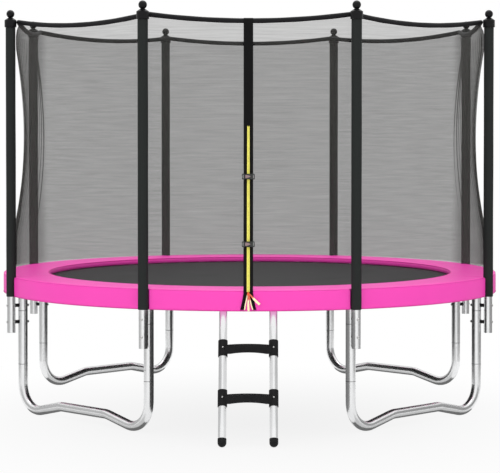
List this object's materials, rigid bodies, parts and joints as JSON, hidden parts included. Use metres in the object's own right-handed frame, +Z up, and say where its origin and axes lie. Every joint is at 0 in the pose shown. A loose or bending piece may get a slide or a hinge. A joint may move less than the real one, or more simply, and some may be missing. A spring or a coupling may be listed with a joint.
{
  "type": "trampoline",
  "caption": "Round outdoor trampoline with a padded spring cover, a mesh enclosure on padded poles with a zip door, and a hook-on ladder.",
  "frame": {"origin": "middle of the footprint's bounding box, on the floor; the jumping mat's centre lies 156 mm behind it", "axes": "+Z up, -Y towards the ladder and the zip door, +X to the right of someone who faces the door from outside"},
  "size_m": [3.1236, 3.4363, 2.4518],
  "materials": {
    "galvanised_tube": "hot-dip galvanised steel, satin, soft long reflections",
    "zinc_bolt": "zinc-plated steel, satin",
    "spring_steel": "zinc-plated spring wire",
    "foam_cover": "matt dark cover over foam",
    "cap_plastic": "moulded plastic, glossy black",
    "black_plastic": "moulded plastic, fine grain, satin black",
    "pad_cover": "coated woven cover, bright pink, satin",
    "mat_weave": "woven dark grey monofilament, matt",
    "hem_webbing": "sewn black webbing",
    "net_mesh": "open knitted mesh, see-through grey",
    "belt_fabric": "sewn black sleeve, matt",
    "webbing": "woven black webbing",
    "zip_tape": "coarse moulded zip, yellow",
    "slider_metal": "enamelled zip slider, orange-red",
    "ribbon": "pale yellow ribbon",
    "buckle_plastic": "moulded plastic, satin dark grey"
  },
  "bodies": {
    "frame": {"top_rail_1": "galvanised_tube", "top_rail_2": "galvanised_tube", "top_rail_3": "galvanised_tube", "top_rail_4": "galvanised_tube", "top_rail_5": "galvanised_tube", "top_rail_6": "galvanised_tube", "top_rail_7": "galvanised_tube", "top_rail_8": "galvanised_tube", "tee_socket_1": "galvanised_tube", "tee_socket_2": "galvanised_tube", "tee_socket_3": "galvanised_tube", "tee_socket_4": "galvanised_tube", "tee_socket_5": "galvanised_tube", "tee_socket_6": "galvanised_tube", "tee_socket_7": "galvanised_tube", "tee_socket_8": "galvanised_tube", "leg_extension_1": "galvanised_tube", "leg_extension_2": "galvanised_tube", "leg_extension_3": "galvanised_tube", "leg_extension_4": "galvanised_tube", "leg_extension_5": "galvanised_tube", "leg_extension_6": "galvanised_tube", "leg_extension_7": "galvanised_tube", "leg_extension_8": "galvanised_tube", "bent_leg_1": "galvanised_tube", "bent_leg_2": "galvanised_tube", "bent_leg_3": "galvanised_tube", "bent_leg_4": "galvanised_tube", "pole_1": "galvanised_tube", "pole_2": "galvanised_tube", "pole_3": "galvanised_tube", "pole_4": "galvanised_tube", "pole_5": "galvanised_tube", "pole_6": "galvanised_tube", "pole_7": "galvanised_tube", "pole_8": "galvanised_tube", "foam_sleeves": "foam_cover", "pole_caps": "cap_plastic", "pole_bolts": "zinc_bolt", "pole_nuts": "zinc_bolt", "pole_spacers": "black_plastic", "leg_screws": "zinc_bolt", "safety_pad": "pad_cover", "springs": "spring_steel", "enclosure_net": "net_mesh", "top_belt": "belt_fabric", "door_strip": "webbing", "zip_chain": "zip_tape", "buckle_housings": "buckle_plastic"},
    "mat": {"jumping_mat": "mat_weave", "mat_hem": "hem_webbing", "mat_v_rings": "zinc_bolt"},
    "zip_pull": {"zip_slider": "slider_metal", "zip_ribbons": "ribbon"},
    "lower_clip": {"buckle_clip_lower": "buckle_plastic"},
    "upper_clip": {"buckle_clip_upper": "buckle_plastic"},
    "ladder": {"ladder_rails": "galvanised_tube", "ladder_steps": "black_plastic", "ladder_foot_caps": "black_plastic", "ladder_screws": "zinc_bolt"}
  },
  "joints": [
    {"name": "mat_bounce", "type": "slide", "parent": "frame", "child": "mat", "axis": [0, 0, 1], "range_m": [-0.17, 0], "stiffness_N_per_m": 4000, "springref_m": 0.03, "deforming": ["springs"]},
    {"name": "zip_slide", "type": "slide", "parent": "frame", "child": "zip_pull", "axis": [0.0009, 0.1694, 0.9856], "range_m": [0, 0.92], "deforming": ["zip_ribbons"]},
    {"name": "lower_buckle_release", "type": "slide", "parent": "frame", "child": "lower_clip", "axis": [1, -0.0052, 0], "range_m": [0, 0.022]},
    {"name": "upper_buckle_release", "type": "slide", "parent": "frame", "child": "upper_clip", "axis": [1, -0.0052, 0], "range_m": [0, 0.022]},
    {"name": "ladder_swing", "type": "hinge", "parent": "frame", "child": "ladder", "pos_m": [-0.0078, -1.33442, 0.7727], "axis": [-1, 0.0052, 0], "range_deg": [0, 25]}
  ]
}
